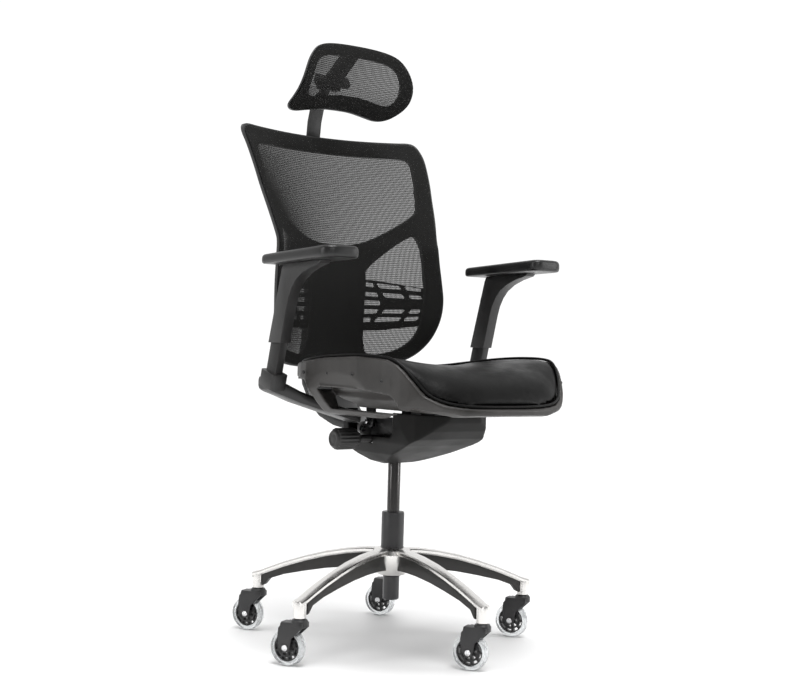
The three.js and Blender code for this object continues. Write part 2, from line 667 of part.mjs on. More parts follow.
add('back_frame', dished(mirrored(BACK_OUTLINE), backWindows(), 3, 14.6, 60), black)
add('back_mesh', backMesh(), weave)
add('lumbar_lattice', lumbarLattice(), black)
add('back_spine', backSpine(), black)

// ---- Headrest: socket on the top rail, curved stem, hinge, T bracket, frame and mesh ----
const STEM_LINE = [[369, 1113], [365, 1150], [361, 1182], [351, 1214], [335, 1240], [314, 1258]]

function headrestSocket() {
  const block = box(-28, 28, 331, 381, 1110, 1150).intersect(across([[331, 1110], [381, 1110], [375, 1150], [336.5, 1150]], -30, 30))
  const slot = across([[365.2, 1100], [375.6, 1100], [369, 1160], [358.6, 1160]], -19.6, 19.6)
  const rail = solid(dished(mirrored([[0, 1112], [40, 1112], [40, 1138], [0, 1138]]), [], 14.6, 60, 30))
  return block.intersect(rail).subtract(slot)
}

function headrestStem() {
  const stations = STEM_LINE.map(([y, z], i) => {
    const [p, q] = i < 2 ? [STEM_LINE[0], STEM_LINE[1]] : [STEM_LINE[i - 1], STEM_LINE[Math.min(i + 1, 5)]]
    const length = Math.hypot(q[0] - p[0], q[1] - p[1])
    return { c: [0, y, z], u: [1, 0, 0], v: [0, (q[1] - p[1]) / length, -(q[0] - p[0]) / length], a: 18.5 - Math.max(0, i - 3) * 3.4, b: 4 }
  })
  const eye = rod(9, -12, 12, ...HEAD_PIVOT)
  return solid(sweep(stations, 12, 6)).add(eye).subtract(rod(4.4, -40, 40, ...HEAD_PIVOT))
}

function headDepth(x, z) {
  return lerpTable(HEAD_TABLE, z, 1) - HEAD_WING * (x / 150) ** 2
}

const HEAD_OUTLINE = mirrored([
  [0, 1200], [40, 1199], [80, 1193], [110, 1187], [132, 1188], [148, 1197], [154, 1215], [153, 1240],
  [147, 1270], [135, 1298], [115, 1322], [90, 1334], [50, 1341], [0, 1343],
])
const HEAD_WINDOW = mirrored([
  [0, 1228], [40, 1226], [80, 1219], [105, 1215], [118, 1220], [124, 1235], [122, 1262], [114, 1287],
  [98, 1303], [70, 1311], [30, 1314], [0, 1315],
])

function headPlate(outline, holes, front, rear, edge) {
  const plate = subdivide(prism(outline, rear - front, holes), edge)
  return map(plate, (x, z, d) => [x, headDepth(x, z) + front + d, z])
}

function headMesh() {
  const inner = HEAD_OUTLINE.map(([x, z]) => [x * 0.985, 1265 + (z - 1265) * 0.985])
  return headPlate(inner, [], 0, 1.2, 26)
}

function headBracket() {
  const strut = across([
    [206.4, 1316], [211.4, 1338], [217, 1340], [223, 1330], [291, 1284], [297, 1268], [291, 1258], [278, 1266],
    [225, 1303], [214, 1311],
  ], -17, 17)
  const bar = across([[278, 1266], [291, 1258], [297, 1268], [291, 1284]], -46, 46)
  const ear = [[288, 1262], [296, 1252], [309, 1251], [318, 1257], [318, 1268], [309, 1273], [292, 1278]]
  const ears = across(ear, 12.6, 26).add(across(ear, -26, -12.6))
  return strut.add(bar).add(ears).subtract(rod(4.4, -40, 40, ...HEAD_PIVOT))
}

add('headrest_socket', headrestSocket(), black)
add('headrest_stem', headrestStem(), black)
add('headrest_pin', rod(4, -27, 27, ...HEAD_PIVOT), steel)
add('headrest_bracket', headBracket(), black)
add('headrest_frame', headPlate(HEAD_OUTLINE, [HEAD_WINDOW], 4.6, 12.4, 30), black)
add('headrest_mesh', headMesh(), weave)

export default chair
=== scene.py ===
import math

import bmesh
import bpy
from mathutils import Matrix, Vector


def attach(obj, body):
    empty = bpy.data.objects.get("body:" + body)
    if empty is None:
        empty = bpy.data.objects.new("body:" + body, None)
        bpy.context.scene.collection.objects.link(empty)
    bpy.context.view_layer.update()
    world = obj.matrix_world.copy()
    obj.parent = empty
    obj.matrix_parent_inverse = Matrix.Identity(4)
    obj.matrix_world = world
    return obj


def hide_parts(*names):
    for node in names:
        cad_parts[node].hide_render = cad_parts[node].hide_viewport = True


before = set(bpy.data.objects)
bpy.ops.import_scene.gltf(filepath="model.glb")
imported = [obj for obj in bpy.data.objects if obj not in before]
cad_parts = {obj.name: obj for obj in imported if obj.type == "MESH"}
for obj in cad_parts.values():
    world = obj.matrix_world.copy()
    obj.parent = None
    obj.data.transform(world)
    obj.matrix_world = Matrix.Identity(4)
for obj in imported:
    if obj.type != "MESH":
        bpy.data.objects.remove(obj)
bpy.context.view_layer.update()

# ---- Studio ----
# A seamless pale floor under soft, even light from large overhead and side panels, and the camera
# at seat height in front of the chair's right corner.
def node(material, kind, inputs=None, **settings):
    made = material.node_tree.nodes.new(kind)
    for key, value in settings.items():
        setattr(made, key, value)
    for key, value in (inputs or {}).items():
        if isinstance(value, bpy.types.NodeSocket):
            material.node_tree.links.new(value, made.inputs[key])
        else:
            made.inputs[key].default_value = value
    return made


def base_finish(name, colour, roughness, metallic=0.0):
    material = bpy.data.materials.new(name)
    material.use_nodes = True
    shader = material.node_tree.nodes["Principled BSDF"]
    shader.inputs["Base Color"].default_value = (*colour, 1)
    shader.inputs["Roughness"].default_value = roughness
    shader.inputs["Metallic"].default_value = metallic
    return material, shader


def join_to(material, output, shader, socket):
    material.node_tree.links.new(output, shader.inputs[socket])


floor_paint, floor_shader = base_finish("studio_floor_paint", (0.93, 0.93, 0.93), 0.6)
floor_tone = node(floor_paint, "ShaderNodeTexNoise", {
    "Vector": node(floor_paint, "ShaderNodeTexCoord").outputs["Object"], "Scale": 3.0})
floor_rough = node(floor_paint, "ShaderNodeMapRange", {
    "Value": floor_tone.outputs["Fac"], "To Min": 0.55, "To Max": 0.65})
join_to(floor_paint, floor_rough.outputs["Result"], floor_shader, "Roughness")
floor_mesh = bmesh.new()
bmesh.ops.create_grid(floor_mesh, x_segments=1, y_segments=1, size=14.0)
floor_data = bpy.data.meshes.new("studio_floor")
floor_mesh.to_mesh(floor_data)
floor_mesh.free()
floor_data.materials.append(floor_paint)
studio_floor = bpy.data.objects.new("studio_floor", floor_data)
bpy.context.scene.collection.objects.link(studio_floor)

backdrop = bpy.data.worlds.new("studio_light")
backdrop.use_nodes = True
sky = backdrop.node_tree.nodes["Background"]
sky.inputs["Color"].default_value = (1.0, 1.0, 1.0, 1)
BRIGHT_SIDE = (0.55, 0.75, 0.36)
sweep = node(backdrop, "ShaderNodeVectorMath", {
    0: node(backdrop, "ShaderNodeTexCoord").outputs["Generated"], 1: BRIGHT_SIDE}, operation="DOT_PRODUCT")
glow = node(backdrop, "ShaderNodeMapRange", {
    "Value": sweep.outputs["Value"], "From Min": -0.1, "From Max": 0.75, "To Min": 0.10, "To Max": 0.95})
seen = node(backdrop, "ShaderNodeLightPath")
level = node(backdrop, "ShaderNodeMix", {
    "Factor": seen.outputs["Is Camera Ray"], "A": glow.outputs["Result"], "B": 1.05})
backdrop.node_tree.links.new(level.outputs["Result"], sky.inputs["Strength"])
bpy.context.scene.world = backdrop

ceiling = bpy.data.lights.new("soft_ceiling", "SUN")
ceiling.energy = 2.6
ceiling.angle = math.radians(34)
ceiling_lamp = bpy.data.objects.new("soft_ceiling", ceiling)
ceiling_lamp.rotation_euler = (math.radians(15), math.radians(-4), 0)
bpy.context.scene.collection.objects.link(ceiling_lamp)

PANELS = {
    "right_panel": ((2.6, -2.2, 1.5), (0, 0, 0.6), (0.9, 1.8), 26),
    "left_panel": ((-3.0, 0.4, 1.7), (0, 0, 0.7), (0.8, 2.0), 22),
    "front_panel": ((-1.2, -3.4, 2.2), (0, 0, 0.5), (1.6, 0.8), 16),
}
for panel_name, (place, aim, size, power) in PANELS.items():
    panel = bpy.data.lights.new(panel_name, "AREA")
    panel.shape = "RECTANGLE"
    panel.size, panel.size_y = size
    panel.energy = power
    lamp = bpy.data.objects.new(panel_name, panel)
    lamp.location = place
    lamp.rotation_euler = (Vector(place) - Vector(aim)).to_track_quat("Z", "Y").to_euler()
    bpy.context.scene.collection.objects.link(lamp)

azimuth, elevation, roll = math.radians(-36.432), math.radians(0.410), math.radians(1.625)
backward = Vector((math.sin(azimuth) * math.cos(elevation), -math.cos(azimuth) * math.cos(elevation),
                   math.sin(elevation)))
level_right = Vector((math.cos(azimuth), math.sin(azimuth), 0))
level_up = backward.cross(level_right)
right = level_right * math.cos(roll) + level_up * math.sin(roll)
up = level_up * math.cos(roll) - level_right * math.sin(roll)
camera_data = bpy.data.cameras.new("camera")
camera_data.lens = 66.06
camera_data.sensor_width = 36.0
camera_data.sensor_fit = "HORIZONTAL"
camera_data.clip_end = 60.0
camera = bpy.data.objects.new("camera", camera_data)
camera.matrix_world = Matrix.Translation((-1.8969, -2.5598, 0.6673)) @ Matrix(
    (right, up, backward)).transposed().to_4x4()
bpy.context.scene.collection.objects.link(camera)
bpy.context.scene.camera = camera
bpy.context.scene.view_settings.view_transform = "Standard"

# ---- Five-leg base ----
# One aluminium casting: slim polished rails that arch down from the hub, black-painted webs under
# them, and a polished cup at each end that takes a caster stem.
LEG_REACH = 0.315
LEG_ANGLES = [270, 342, 54, 126, 198]
LEG_TOP = [(0.030, 0.210), (0.060, 0.209), (0.100, 0.204), (0.150, 0.194), (0.200, 0.180), (0.250, 0.163),
           (0.290, 0.147), (0.308, 0.139), (0.326, 0.134)]
RAIL_HALF_AT_HUB, RAIL_HALF_AT_CUP, RAIL_DEPTH = 0.0168, 0.0130, 0.015
RAIL_SECTION = [(-1, -0.58), (-1, -0.24), (-0.86, -0.10), (-0.34, 0.0), (0, 0.02), (0.34, 0.0), (0.86, -0.10),
                (1, -0.24), (1, -0.58), (0.8, -0.8), (-0.8, -0.8)]
WEB_HALF = 0.0105


def piece(name, shape, paint, body, stands_for=(), crease=38):
    data = bpy.data.meshes.new(name)
    shape.to_mesh(data)
    shape.free()
    data.shade_smooth()
    data.set_sharp_from_angle(angle=math.radians(crease))
    data.materials.append(paint)
    made = bpy.data.objects.new(name, data)
    bpy.context.scene.collection.objects.link(made)
    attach(made, body)
    if stands_for:
        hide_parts(*stands_for)
    return made


def loop(shape, points):
    corners = [shape.verts.new(p) for p in points]
    return [shape.edges.new(pair) for pair in zip(corners, corners[1:] + corners[:1])]


# Closed sections joined one to the next, with both ends filled.
def bridge(shape, sections, caps=True):
    rings = [loop(shape, points) for points in sections]
    for near, far in zip(rings, rings[1:]):
        bmesh.ops.bridge_loops(shape, edges=near + far)
    if caps:
        for end in (rings[0], rings[-1]):
            bmesh.ops.contextual_create(shape, geom=end)
    bmesh.ops.recalc_face_normals(shape, faces=shape.faces[:])


# A profile of (radius, height) turned about the vertical axis.
def turn(shape, profile, steps=48):
    points = [shape.verts.new((r, 0, z)) for r, z in profile]
    edges = [shape.edges.new(pair) for pair in zip(points, points[1:])]
    bmesh.ops.spin(shape, geom=points + edges, cent=(0, 0, 0), axis=(0, 0, 1), angle=2 * math.pi,
                   steps=steps, use_merge=True)
    bmesh.ops.remove_doubles(shape, verts=shape.verts[:], dist=1e-6)
    bmesh.ops.recalc_face_normals(shape, faces=shape.faces[:])


def round_edges(shape, width, segments=2, over=40):
    sharp = [e for e in shape.edges if len(e.link_faces) == 2 and e.calc_face_angle(0) > math.radians(over)]
    bmesh.ops.bevel(shape, geom=sharp, offset=width, offset_type="OFFSET", affect="EDGES", segments=segments,
                    profile=0.5, material=-1, clamp_overlap=True)


def add_shape(whole, extra, matrix=None):
    if matrix is not None:
        bmesh.ops.transform(extra, matrix=matrix, verts=extra.verts[:])
    data = bpy.data.meshes.new("part")
    extra.to_mesh(data)
    extra.free()
    whole.from_mesh(data)
    bpy.data.meshes.remove(data)


alloy_paint, alloy_shader = base_finish("polished_aluminium", (0.80, 0.785, 0.765), 0.2, 1.0)
alloy_place = node(alloy_paint, "ShaderNodeTexCoord").outputs["Object"]
alloy_cloud = node(alloy_paint, "ShaderNodeTexNoise", {"Vector": alloy_place, "Scale": 26.0, "Detail": 4.0})
alloy_rough = node(alloy_paint, "ShaderNodeMapRange", {
    "Value": alloy_cloud.outputs["Fac"], "From Min": 0.3, "From Max": 0.7, "To Min": 0.17, "To Max": 0.31})
join_to(alloy_paint, alloy_rough.outputs["Result"], alloy_shader, "Roughness")
alloy_lines = node(alloy_paint, "ShaderNodeTexNoise", {"Vector": alloy_place, "Scale": 900.0, "Detail": 2.0})
alloy_bump = node(alloy_paint, "ShaderNodeBump", {
    "Strength": 0.08, "Distance": 0.0002, "Height": alloy_lines.outputs["Fac"]})
join_to(alloy_paint, alloy_bump.outputs["Normal"], alloy_shader, "Normal")


# Fine moulded or sprayed texture: grain, uneven gloss and a slightly uneven colour.
def grain(material, shader, size, depth, gloss, tones):
    place = node(material, "ShaderNodeTexCoord").outputs["Object"]
    fine = node(material, "ShaderNodeTexNoise", {"Vector": place, "Scale": 1 / size, "Detail": 3.0})
    bump = node(material, "ShaderNodeBump", {
        "Strength": depth, "Distance": 0.0003, "Height": fine.outputs["Fac"]})
    join_to(material, bump.outputs["Normal"], shader, "Normal")
    cloud = node(material, "ShaderNodeTexNoise", {"Vector": place, "Scale": 14.0, "Detail": 5.0})
    rough = node(material, "ShaderNodeMapRange", {
        "Value": cloud.outputs["Fac"], "From Min": 0.3, "From Max": 0.7,
        "To Min": gloss[0], "To Max": gloss[1]})
    join_to(material, rough.outputs["Result"], shader, "Roughness")
    ramp = node(material, "ShaderNodeValToRGB", {"Fac": cloud.outputs["Fac"]})
    ramp.color_ramp.elements[0].position, ramp.color_ramp.elements[1].position = 0.3, 0.7
    ramp.color_ramp.elements[0].color = (*tones[0], 1)
    ramp.color_ramp.elements[1].color = (*tones[1], 1)
    join_to(material, ramp.outputs["Color"], shader, "Base Color")


web_paint, web_shader = base_finish("black_web_paint", (0.03, 0.028, 0.026), 0.5)
grain(web_paint, web_shader, 0.0009, 0.35, (0.42, 0.58), ((0.016, 0.015, 0.014), (0.028, 0.026, 0.024)))

rails = bmesh.new()
webs = bmesh.new()
for angle in LEG_ANGLES:
    turned_leg = Matrix.Rotation(math.radians(angle), 4, "Z")
    rail = bmesh.new()
    sections = []
    for i, (r, z) in enumerate(LEG_TOP):
        half = RAIL_HALF_AT_HUB - (RAIL_HALF_AT_HUB - RAIL_HALF_AT_CUP) * i / (len(LEG_TOP) - 1)
        sections.append([(r, y * half, z + h * RAIL_DEPTH) for y, h in RAIL_SECTION])
    bridge(rail, sections)
    add_shape(rails, rail, turned_leg)
    cup = bmesh.new()
    turn(cup, [(0.0, 0.0975), (0.0105, 0.0975), (0.0128, 0.099), (0.0134, 0.112), (0.0136, 0.128),
               (0.0128, 0.1335), (0.0, 0.1345)], 32)
    add_shape(rails, cup, turned_leg @ Matrix.Translation((LEG_REACH, 0, 0)))
    web = bmesh.new()
    under = [(r, z - 0.014 - 0.034 * max(0, 1 - r / 0.300) ** 0.45) for r, z in LEG_TOP if r < 0.285]
    under += [(0.286, 0.121), (0.297, 0.107), (0.3025, 0.104)]
    outline = [(r, z - 0.006) for r, z in LEG_TOP if r < 0.3] + [(0.3025, 0.134)] + under[::-1]
    for w in (-WEB_HALF, WEB_HALF):
        loop(web, [(r, w, z) for r, z in outline])
    bmesh.ops.bridge_loops(web, edges=web.edges[:])
    for w in (-WEB_HALF, WEB_HALF):
        bmesh.ops.contextual_create(web, geom=[
            e for e in web.edges if all(abs(v.co.y - w) < 1e-6 for v in e.verts)])
    bmesh.ops.recalc_face_normals(web, faces=web.faces[:])
    round_edges(web, 0.0016, 2)
    add_shape(webs, web, turned_leg)
hub = bmesh.new()
turn(hub, [(0.0256, 0.1525), (0.0300, 0.1525), (0.0345, 0.158), (0.0385, 0.170), (0.0440, 0.183),
           (0.0455, 0.198), (0.0415, 0.2065), (0.034, 0.2105), (0.0262, 0.2112), (0.0256, 0.2105),
           (0.0256, 0.152)], 64)
add_shape(rails, hub)
bmesh.ops.recalc_face_normals(rails, faces=rails.faces[:])
piece("base_rails", rails, alloy_paint, "base", ["base_star"], crease=26)
piece("base_webs", webs, web_paint, "base", ["base_star"])

# ---- Gas column ----
# A black powder-coated steel sleeve pressed in the hub, with the black chromed piston above it.
sleeve_paint, sleeve_shader = base_finish("column_powder_coat", (0.03, 0.03, 0.032), 0.35)
grain(sleeve_paint, sleeve_shader, 0.0006, 0.3, (0.3, 0.4), ((0.03, 0.03, 0.032), (0.045, 0.044, 0.045)))
sleeve = bmesh.new()
turn(sleeve, [(0.0, 0.097), (0.0155, 0.097), (0.0178, 0.099), (0.018, 0.148), (0.0248, 0.152), (0.025, 0.286),
              (0.0242, 0.2892), (0.0228, 0.290), (0.0146, 0.290), (0.0146, 0.104), (0.0, 0.104)], 64)
piece("column_sleeve", sleeve, sleeve_paint, "base", ["column_tube"])
piston_paint, piston_shader = base_finish("black_chrome", (0.05, 0.048, 0.048), 0.2, 0.7)
grain(piston_paint, piston_shader, 0.0008, 0.08, (0.16, 0.26), ((0.085, 0.082, 0.081), (0.12, 0.116, 0.114)))
rod = bmesh.new()
turn(rod, [(0.0, 0.206), (0.014, 0.206), (0.014, 0.452), (0.0115, 0.457), (0.0, 0.4575)], 48)
piece("piston_rod", rod, piston_paint, "column", ["piston"])

# ---- Casters ----
# Single clear polyurethane tyres on slotted black hubs, held by bright axles in black hooded forks
# that swivel on a stem in each leg's cup.
TRAIL = Vector((-0.012, 0.021, 0.0))
WHEEL_RADIUS = 0.038
HUB_RADIUS, HUB_WIDTH = 0.0282, 0.015
trail_turn = Matrix.Rotation(math.atan2(TRAIL.y, TRAIL.x), 4, "Z")


# An outline with openings, filled, cut to a fine grid and given a thickness along Y.
def flat_plate(outline, holes, thickness, step=None):
    plate = bmesh.new()
    edges = []
    for points in [outline, *holes]:
        edges += loop(plate, [(a, 0, b) for a, b in points])
    bmesh.ops.triangle_fill(plate, use_beauty=True, edges=edges)
    if step:
        for axis in (0, 2):
            reach = [v.co[axis] for v in plate.verts]
            line = math.ceil(min(reach) / step) * step
            while line < max(reach):
                spot, way = [0, 0, 0], [0, 0, 0]
                spot[axis], way[axis] = line, 1
                bmesh.ops.bisect_plane(plate, geom=plate.verts[:] + plate.edges[:] + plate.faces[:],
                                       dist=1e-6, plane_co=spot, plane_no=way)
                line += step
    if thickness:
        grown = bmesh.ops.extrude_face_region(plate, geom=plate.faces[:])["geom"]
        bmesh.ops.translate(plate, verts=[v for v in grown if isinstance(v, bmesh.types.BMVert)],
                            vec=(0, thickness, 0))
    bmesh.ops.recalc_face_normals(plate, faces=plate.faces[:])
    return plate


tyre_paint, tyre_shader = base_finish("clear_polyurethane", (0.90, 0.92, 0.93), 0.12)
tyre_shader.inputs["Transmission Weight"].default_value = 0.82
tyre_shader.inputs["IOR"].default_value = 1.49
tyre_cloud = node(tyre_paint, "ShaderNodeTexNoise", {
    "Vector": node(tyre_paint, "ShaderNodeTexCoord").outputs["Object"], "Scale": 90.0, "Detail": 3.0})
tyre_rough = node(tyre_paint, "ShaderNodeMapRange", {
    "Value": tyre_cloud.outputs["Fac"], "From Min": 0.3, "From Max": 0.7, "To Min": 0.06, "To Max": 0.2})
join_to(tyre_paint, tyre_rough.outputs["Result"], tyre_shader, "Roughness")
hub_paint, hub_shader = base_finish("caster_hub_black", (0.016, 0.016, 0.017), 0.4)
grain(hub_paint, hub_shader, 0.0008, 0.25, (0.32, 0.45), ((0.013, 0.013, 0.014), (0.026, 0.026, 0.027)))
fork_paint, fork_shader = base_finish("caster_fork_black", (0.02, 0.02, 0.021), 0.42)
grain(fork_paint, fork_shader, 0.0009, 0.35, (0.34, 0.5), ((0.018, 0.018, 0.019), (0.034, 0.033, 0.034)))
axle_paint, axle_shader = base_finish("zinc_axle", (0.82, 0.82, 0.83), 0.25, 1.0)
grain(axle_paint, axle_shader, 0.0005, 0.12, (0.2, 0.32), ((0.74, 0.74, 0.75), (0.88, 0.88, 0.89)))


def lying(shape):
    bmesh.ops.rotate(shape, verts=shape.verts[:], cent=(0, 0, 0), matrix=Matrix.Rotation(math.pi / 2, 3, "X"))


def arc_slot(low, high, middle, half, corners=5):
    spread = [middle - half + 2 * half * i / corners for i in range(corners + 1)]
    return [(low * math.cos(a), low * math.sin(a)) for a in spread] + [
        (high * math.cos(a), high * math.sin(a)) for a in reversed(spread)]


# The CAD solid's own surface, merged and with its edges rounded.
def rounded_copy(cad_node, width, segments=2, over=28):
    shape = bmesh.new()
    shape.from_mesh(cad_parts[cad_node].data)
    bmesh.ops.remove_doubles(shape, verts=shape.verts[:], dist=1e-5)
    bmesh.ops.dissolve_limit(shape, angle_limit=math.radians(1.5), verts=shape.verts[:], edges=shape.edges[:])
    round_edges(shape, width, segments, over)
    bmesh.ops.recalc_face_normals(shape, faces=shape.faces[:])
    return shape


for i, angle in enumerate(LEG_ANGLES, 1):
    stem = Vector((LEG_REACH * math.cos(math.radians(angle)), LEG_REACH * math.sin(math.radians(angle)), 0))
    at_axle = Matrix.Translation(stem + TRAIL + Vector((0, 0, WHEEL_RADIUS))) @ trail_turn
    tyre = bmesh.new()
    turn(tyre, [(0.0287, -0.0098), (0.0325, -0.0103), (0.0352, -0.0098), (0.0370, -0.0070), (0.0378, -0.0035),
                (0.038, 0.0), (0.0378, 0.0035), (0.0370, 0.0070), (0.0352, 0.0098), (0.0325, 0.0103),
                (0.0287, 0.0098), (0.0287, -0.0098)], 72)
    lying(tyre)
    bmesh.ops.transform(tyre, matrix=at_axle, verts=tyre.verts[:])
    piece(f"tyre_{i}", tyre, tyre_paint, f"wheel_{i}", [f"wheel_tyre_{i}"], crease=60)
    slots = [arc_slot(0.0205, 0.0258, 2 * math.pi * k / 9, 0.27) for k in range(9)]
    slots += [arc_slot(0.0105, 0.0168, 2 * math.pi * (k + 0.5) / 7, 0.30) for k in range(7)]
    around = [2 * math.pi * k / 54 for k in range(54)]
    rim = [(HUB_RADIUS * math.cos(a), HUB_RADIUS * math.sin(a)) for a in around]
    disc = flat_plate(rim, slots, HUB_WIDTH)
    bmesh.ops.translate(disc, verts=disc.verts[:], vec=(0, -HUB_WIDTH / 2, 0))
    round_edges(disc, 0.0007, 2, 60)
    bmesh.ops.transform(disc, matrix=at_axle, verts=disc.verts[:])
    piece(f"slotted_hub_{i}", disc, hub_paint, f"wheel_{i}", [f"wheel_hub_{i}"])
    axle = bmesh.new()
    turn(axle, [(0.0, -0.0190), (0.0022, -0.0190), (0.0030, -0.0180), (0.0058, -0.0184), (0.0064, -0.0176),
                (0.0064, -0.0171), (0.0039, -0.0170), (0.0039, 0.0170), (0.0064, 0.0171), (0.0064, 0.0176),
                (0.0058, 0.0184), (0.0030, 0.0180), (0.0022, 0.0190), (0.0, 0.0190)], 28)
    lying(axle)
    bmesh.ops.transform(axle, matrix=at_axle, verts=axle.verts[:])
    piece(f"axle_{i}", axle, axle_paint, f"caster_{i}", [f"wheel_axle_{i}"])
    piece(f"fork_{i}", rounded_copy(f"caster_fork_{i}", 0.0011), fork_paint, f"caster_{i}",
          [f"caster_fork_{i}"], crease=32)

# ---- Mechanism ----
# A moulded nylon bowl bolted round the steel tilt box, open at each side, where the springs and the
# pivots show. The knob on its right sets the recline tension and the lever on its left the height.
bowl_paint, bowl_shader = base_finish("dark_grey_housing", (0.04, 0.039, 0.038), 0.42)
grain(bowl_paint, bowl_shader, 0.0010, 0.45, (0.42, 0.56), ((0.006, 0.0057, 0.0055), (0.010, 0.0096, 0.0092)))
bowl_shader.inputs["Specular IOR Level"].default_value = 0.14
steel_paint, steel_shader = base_finish("black_steel_plate", (0.02, 0.02, 0.021), 0.32, 0.4)
grain(steel_paint, steel_shader, 0.0012, 0.2, (0.26, 0.42), ((0.016, 0.016, 0.017), (0.032, 0.031, 0.031)))
pin_paint, pin_shader = base_finish("bright_pin", (0.72, 0.72, 0.73), 0.28, 1.0)
grain(pin_paint, pin_shader, 0.0005, 0.1, (0.22, 0.34), ((0.64, 0.64, 0.65), (0.78, 0.78, 0.79)))


# The CAD solids' surface on an even fine mesh, relaxed so that its corners flow like a moulding's.
def moulded(name, cad_nodes, cell, passes, paint, body):
    shape = bmesh.new()
    for cad_node in cad_nodes:
        shape.from_mesh(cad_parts[cad_node].data)
    bmesh.ops.remove_doubles(shape, verts=shape.verts[:], dist=1e-5)
    made = piece(name, shape, paint, body, cad_nodes, crease=180)
    even = made.modifiers.new("even", "REMESH")
    even.mode, even.voxel_size, even.use_smooth_shade = "VOXEL", cell, True
    flow = made.modifiers.new("flow", "SMOOTH")
    flow.factor, flow.iterations = 0.5, passes
    data = bpy.data.meshes.new_from_object(made.evaluated_get(bpy.context.evaluated_depsgraph_get()))
    made.modifiers.clear()
    made.data = data
    return made


moulded("mechanism_bowl", ["mechanism_housing"], 0.0018, 14, bowl_paint, "mechanism")
piece("tilt_box_steel", rounded_copy("tilt_box", 0.0009, 2), steel_paint, "mechanism",
      ["tilt_box"], crease=30)
for pin in ("seat_pivot_pin", "back_pivot_pin"):
    piece(f"{pin}_turned", rounded_copy(pin, 0.0006, 2, 60), pin_paint, "mechanism", [pin])

COIL_RADIUS, WIRE_RADIUS, COIL_FOOT, COIL_HEIGHT, COIL_TURNS = 0.0078, 0.0013, 0.4675, 0.0335, 8
coil_steps = 20 * COIL_TURNS
coil = bmesh.new()
wire = [(COIL_RADIUS + WIRE_RADIUS * math.cos(a), 0, COIL_FOOT + WIRE_RADIUS * math.sin(a))
        for a in [2 * math.pi * k / 10 for k in range(10)]]
wire_loop = loop(coil, wire)
bmesh.ops.spin(coil, geom=coil.verts[:] + wire_loop, cent=(0, 0, 0), axis=(0, 0, 1),
               dvec=(0, 0, COIL_HEIGHT / coil_steps), angle=2 * math.pi * COIL_TURNS, steps=coil_steps)
for end in (min, max):
    open_edges = [e for e in coil.edges if e.is_boundary]
    level_z = end(sum(v.co.z for v in e.verts) / 2 for e in open_edges)
    bmesh.ops.contextual_create(coil, geom=[
        e for e in open_edges if abs(sum(v.co.z for v in e.verts) / 2 - level_z) < 0.0028])
bmesh.ops.recalc_face_normals(coil, faces=coil.faces[:])
bmesh.ops.translate(coil, verts=coil.verts[:], vec=(-0.072, -0.100, 0))
piece("side_spring", coil, steel_paint, "mechanism", ["tilt_spring"], crease=60)

KNOB_AXIS = (-0.035, 0.455)
KNOB_RIBS, RIB_DEPTH = 18, 0.035
knob_paint, knob_shader = base_finish("knob_rubber", (0.026, 0.026, 0.027), 0.5)
grain(knob_paint, knob_shader, 0.0007, 0.4, (0.42, 0.58), ((0.016, 0.016, 0.016), (0.03, 0.029, 0.029)))
knob = bmesh.new()
knob_run = [(-0.1262, 0.0148, 0), (-0.1335, 0.0188, 0), (-0.1345, 0.0205, 0), (-0.1360, 0.0222, 1),
            (-0.1810, 0.0224, 1), (-0.1828, 0.0208, 1), (-0.1838, 0.0190, 0), (-0.1868, 0.0184, 0),
            (-0.1884, 0.0170, 0), (-0.1890, 0.0140, 0), (-0.1880, 0.0125, 0), (-0.1876, 0.0085, 0),
            (-0.1884, 0.0060, 0)]
knob_rings = []
for x, r, ribbed in knob_run:
    ring = []
    for k in range(6 * KNOB_RIBS):
        a = 2 * math.pi * k / (6 * KNOB_RIBS)
        ribbed_r = r * (1 + RIB_DEPTH * ribbed * math.cos(KNOB_RIBS * a))
        ring.append((x, KNOB_AXIS[0] + ribbed_r * math.cos(a), KNOB_AXIS[1] + ribbed_r * math.sin(a)))
    knob_rings.append(ring)
bridge(knob, knob_rings)
piece("ribbed_knob", knob, knob_paint, "tension", ["tension_knob"], crease=48)
piece("knob_shaft", rounded_copy("tension_shaft", 0.0006, 2, 60), steel_paint, "tension",
      ["tension_shaft"])
piece("lever_blade", rounded_copy("height_lever", 0.0012, 2, 40), fork_paint, "lever",
      ["height_lever"], crease=45)

# ---- Seat pan ----
# A deep moulded tray whose side walls have a long window over a slim lower bar. Four screws in each
# wall hold the cushion board, and a steel plate underneath carries the seat pivot.
pan_paint, pan_shader = base_finish("dark_grey_pan", (0.045, 0.043, 0.042), 0.4)
grain(pan_paint, pan_shader, 0.0010, 0.45, (0.34, 0.48), ((0.020, 0.0185, 0.017), (0.034, 0.031, 0.029)))
moulded("seat_pan", ["seat_shell", "seat_belly_right", "seat_belly_left"], 0.0024, 6, pan_paint, "seat")
piece("seat_plate", rounded_copy("seat_bracket", 0.0009, 2), steel_paint, "seat",
      ["seat_bracket"], crease=30)
PAN_WALL = 0.2388
SCREW_SPOTS = [(0.010, 0.5935), (-0.080, 0.5945), (-0.170, 0.5950), (-0.270, 0.5850)]
screws = bmesh.new()
for side in (-1, 1):
    for y, z in SCREW_SPOTS:
        screw = bmesh.new()
        turn(screw, [(0.0, 0.0004), (0.0015, 0.0004), (0.0017, 0.0013), (0.0028, 0.0010), (0.0034, 0.0002),
                     (0.0034, -0.0020), (0.0, -0.0020)], 24)
        facing = Matrix.Translation((side * PAN_WALL, y, z)) @ Matrix.Rotation(side * math.pi / 2, 4, "Y")
        add_shape(screws, screw, facing)
piece("seat_screws", screws, steel_paint, "seat")

